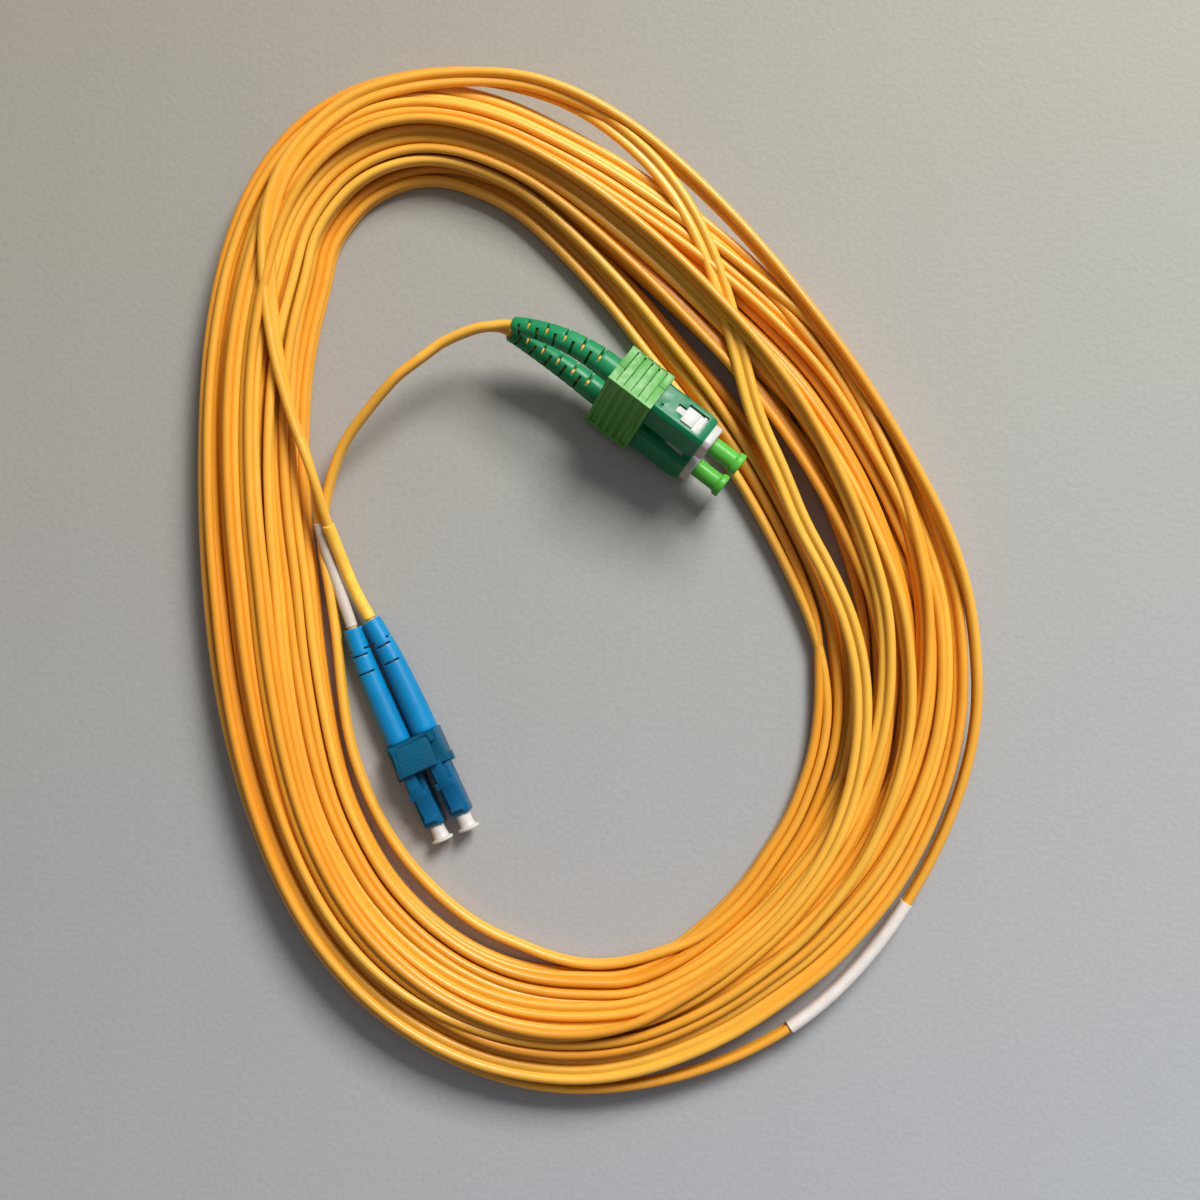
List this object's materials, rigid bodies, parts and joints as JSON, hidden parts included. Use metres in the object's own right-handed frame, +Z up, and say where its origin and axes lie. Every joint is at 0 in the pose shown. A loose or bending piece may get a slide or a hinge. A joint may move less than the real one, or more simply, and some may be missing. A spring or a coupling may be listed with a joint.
{
  "type": "fiber optic patch cord",
  "caption": "Coiled twin fibre cord with an angled-polish square duplex plug at its inner end, a small latched duplex plug at its outer end, strain-relief boots, duplex clips and dust caps.",
  "frame": {"origin": "on the resting plane, under the middle of the box around the two duplex plugs", "axes": "+X right, +Y away and +Z up, as the cord lies coiled seen from above; the plugs' box is longest along Y and shortest along Z"},
  "size_m": [0.1724, 0.2262, 0.0249],
  "materials": {
    "green": "gloss",
    "white": "gloss",
    "ceramic": "polished",
    "steel": "satin",
    "brass": "satin",
    "lime": "translucent satin",
    "yellow": "satin",
    "clear_yellow": "gloss",
    "blue": "gloss",
    "teal": "gloss",
    "cap_white": "satin",
    "shrink_white": "matte",
    "shrink_yellow": "matte",
    "buffer": "satin"
  },
  "bodies": {
    "cord_and_frames": {"sc_frame_a": "white", "sc_stop_ring_a": "steel", "sc_crimp_a": "steel", "sc_boot_a": "green", "sc_spring_a": "steel", "sc_leg_a": "yellow", "sc_frame_b": "white", "sc_stop_ring_b": "steel", "sc_crimp_b": "steel", "sc_boot_b": "green", "sc_spring_b": "steel", "sc_leg_b": "yellow", "cord_sc_tail": "yellow", "cord_coil": "yellow", "cord_lc_tail": "yellow", "label_sleeve": "clear_yellow", "lc_leg_a": "yellow", "heat_shrink_a": "shrink_white", "lc_boot_a": "blue", "lc_crimp_a": "steel", "lc_rear_body_a": "steel", "lc_spring_a": "steel", "lc_housing_a": "blue", "lc_leg_b": "yellow", "heat_shrink_b": "shrink_yellow", "lc_boot_b": "blue", "lc_crimp_b": "steel", "lc_rear_body_b": "steel", "lc_spring_b": "steel", "lc_housing_b": "blue", "lc_clip": "teal"},
    "sc_grip": {"sc_housing_a": "green", "sc_housing_b": "green", "sc_clip_upper": "lime", "sc_clip_lower": "lime"},
    "sc_ferrule_a": {"sc_ferrule_a": "ceramic", "sc_flange_a": "brass", "sc_fibre_a": "buffer"},
    "sc_ferrule_b": {"sc_ferrule_b": "ceramic", "sc_flange_b": "brass", "sc_fibre_b": "buffer"},
    "sc_cap_a": {"sc_cap_a": "lime"},
    "sc_cap_b": {"sc_cap_b": "lime"},
    "lc_trigger": {"lc_trigger": "teal"},
    "lc_latch_a": {"lc_latch_a": "blue"},
    "lc_latch_b": {"lc_latch_b": "blue"},
    "lc_ferrule_a": {"lc_ferrule_a": "ceramic", "lc_flange_a": "brass", "lc_fibre_a": "buffer"},
    "lc_ferrule_b": {"lc_ferrule_b": "ceramic", "lc_flange_b": "brass", "lc_fibre_b": "buffer"},
    "lc_cap_a": {"lc_cap_a": "cap_white"},
    "lc_cap_b": {"lc_cap_b": "cap_white"}
  },
  "joints": [
    {"name": "sc_grip_slide", "type": "slide", "parent": "cord_and_frames", "child": "sc_grip", "axis": [0.7961, -0.6051, 0], "range_m": [-0.0015, 0]},
    {"name": "sc_ferrule_a_float", "type": "slide", "parent": "cord_and_frames", "child": "sc_ferrule_a", "axis": [0.7961, -0.6051, 0], "range_m": [-0.001, 0], "stiffness_N_per_m": 600, "springref_m": 0.001, "deforming": ["sc_spring_a"]},
    {"name": "sc_cap_a_pull", "type": "slide", "parent": "sc_ferrule_a", "child": "sc_cap_a", "axis": [0.7961, -0.6051, 0], "range_m": [0, 0.0078]},
    {"name": "sc_ferrule_b_float", "type": "slide", "parent": "cord_and_frames", "child": "sc_ferrule_b", "axis": [0.7961, -0.6051, 0], "range_m": [-0.001, 0], "stiffness_N_per_m": 600, "springref_m": 0.001, "deforming": ["sc_spring_b"]},
    {"name": "sc_cap_b_pull", "type": "slide", "parent": "sc_ferrule_b", "child": "sc_cap_b", "axis": [0.7961, -0.6051, 0], "range_m": [0, 0.0078]},
    {"name": "lc_trigger_press", "type": "hinge", "parent": "cord_and_frames", "child": "lc_trigger", "pos_m": [-0.02787, -0.03409, 0.00705], "axis": [0.9071, 0.4078, 0.1045], "range_deg": [0, 8], "stiffness_Nm_per_rad": 0.03},
    {"name": "lc_latch_a_flex", "type": "hinge", "parent": "cord_and_frames", "child": "lc_latch_a", "pos_m": [-0.02387, -0.05038, 0.00602], "axis": [-0.9071, -0.4078, -0.1045], "range_deg": [0, 4], "stiffness_Nm_per_rad": 0.03},
    {"name": "lc_ferrule_a_float", "type": "slide", "parent": "cord_and_frames", "child": "lc_ferrule_a", "axis": [0.41, -0.9121, 0], "range_m": [-0.001, 0], "stiffness_N_per_m": 400, "springref_m": 0.001, "deforming": ["lc_spring_a"]},
    {"name": "lc_cap_a_pull", "type": "slide", "parent": "lc_ferrule_a", "child": "lc_cap_a", "axis": [0.41, -0.9121, 0], "range_m": [0, 0.004]},
    {"name": "lc_latch_b_flex", "type": "hinge", "parent": "cord_and_frames", "child": "lc_latch_b", "pos_m": [-0.0182, -0.04783, 0.00668], "axis": [-0.9071, -0.4078, -0.1045], "range_deg": [0, 4], "stiffness_Nm_per_rad": 0.03},
    {"name": "lc_ferrule_b_float", "type": "slide", "parent": "cord_and_frames", "child": "lc_ferrule_b", "axis": [0.41, -0.9121, 0], "range_m": [-0.001, 0], "stiffness_N_per_m": 400, "springref_m": 0.001, "deforming": ["lc_spring_b"]},
    {"name": "lc_cap_b_pull", "type": "slide", "parent": "lc_ferrule_b", "child": "lc_cap_b", "axis": [0.41, -0.9121, 0], "range_m": [0, 0.004]}
  ],
  "couplings": [
    {"joint": "lc_latch_a_flex", "follows": "lc_trigger_press", "ratio": 0.5},
    {"joint": "lc_latch_b_flex", "follows": "lc_trigger_press", "ratio": 0.5}
  ]
}
